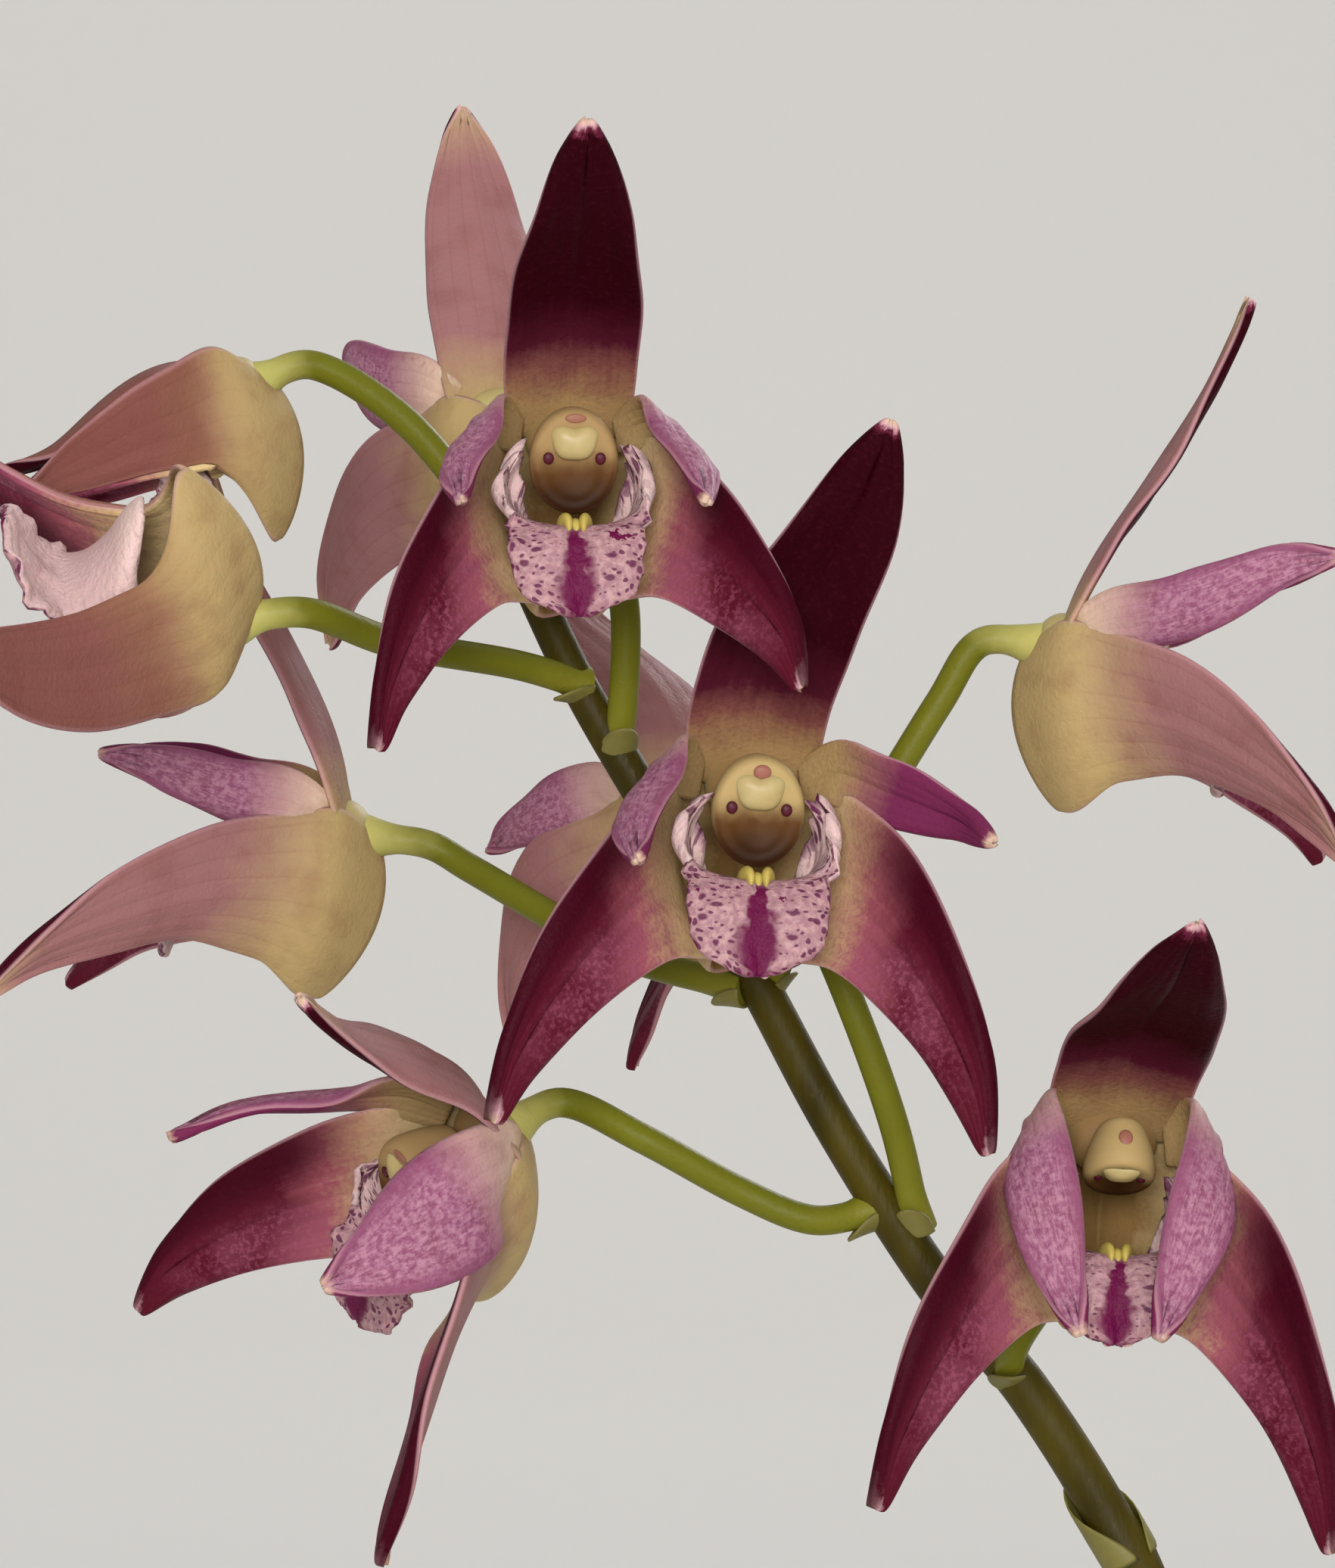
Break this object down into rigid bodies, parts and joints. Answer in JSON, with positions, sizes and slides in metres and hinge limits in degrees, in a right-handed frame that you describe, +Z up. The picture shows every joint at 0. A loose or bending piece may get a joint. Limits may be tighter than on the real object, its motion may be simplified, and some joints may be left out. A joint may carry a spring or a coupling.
{
  "type": "potted dendrobium orchid",
  "caption": "Potted dendrobium orchid with upright canes, leathery leaves and a nodding raceme of dark maroon blooms, standing in a plain clay pot of bark.",
  "frame": {"origin": "middle of the pot's foot, on the surface that the pot stands on", "axes": "+Z up; the raceme leans towards -X and its blooms look towards -Y"},
  "size_m": [0.2536, 0.2408, 0.4493],
  "materials": {
    "clay": "unglazed terracotta, matte",
    "bark": "rough chipped bark",
    "cane": "ridged waxy stem with papery sheaths",
    "leaf": "leathery, softly glossy",
    "stem": "smooth and waxy, olive to yellow green",
    "sepal": "waxy petals, maroon inside and dusty pink outside",
    "lip": "crinkled, pale pink with purple spots",
    "column": "smooth, cream yellow"
  },
  "bodies": {
    "root": {"pot": "clay", "potting_bark": "bark", "cane_1": "cane", "cane_2": "cane", "cane_3": "cane", "cane_4": "cane", "cane_5": "cane", "cane_6": "cane", "leaf_1": "leaf", "leaf_2": "leaf", "leaf_3": "leaf", "leaf_4": "leaf", "leaf_5": "leaf", "leaf_6": "leaf", "leaf_7": "leaf", "leaf_8": "leaf", "leaf_9": "leaf", "leaf_10": "leaf", "leaf_11": "leaf", "leaf_12": "leaf", "leaf_13": "leaf", "leaf_14": "leaf", "leaf_15": "leaf", "flower_stem": "stem", "bloom_a_perianth": "sepal", "bloom_a_lip": "lip", "bloom_a_column": "column", "bloom_b_perianth": "sepal", "bloom_b_lip": "lip", "bloom_b_column": "column", "bloom_c_perianth": "sepal", "bloom_c_lip": "lip", "bloom_c_column": "column", "bloom_d_perianth": "sepal", "bloom_d_lip": "lip", "bloom_d_column": "column", "bloom_e_perianth": "sepal", "bloom_e_lip": "lip", "bloom_e_column": "column", "bloom_f_perianth": "sepal", "bloom_f_lip": "lip", "bloom_f_column": "column", "bloom_g_perianth": "sepal", "bloom_g_lip": "lip", "bloom_g_column": "column", "bloom_h_perianth": "sepal", "bloom_h_lip": "lip", "bloom_h_column": "column", "bloom_i_perianth": "sepal", "bloom_i_lip": "lip", "bloom_i_column": "column", "bloom_j_perianth": "sepal", "bloom_j_lip": "lip", "bloom_j_column": "column"}
  },
  "joints": []
}
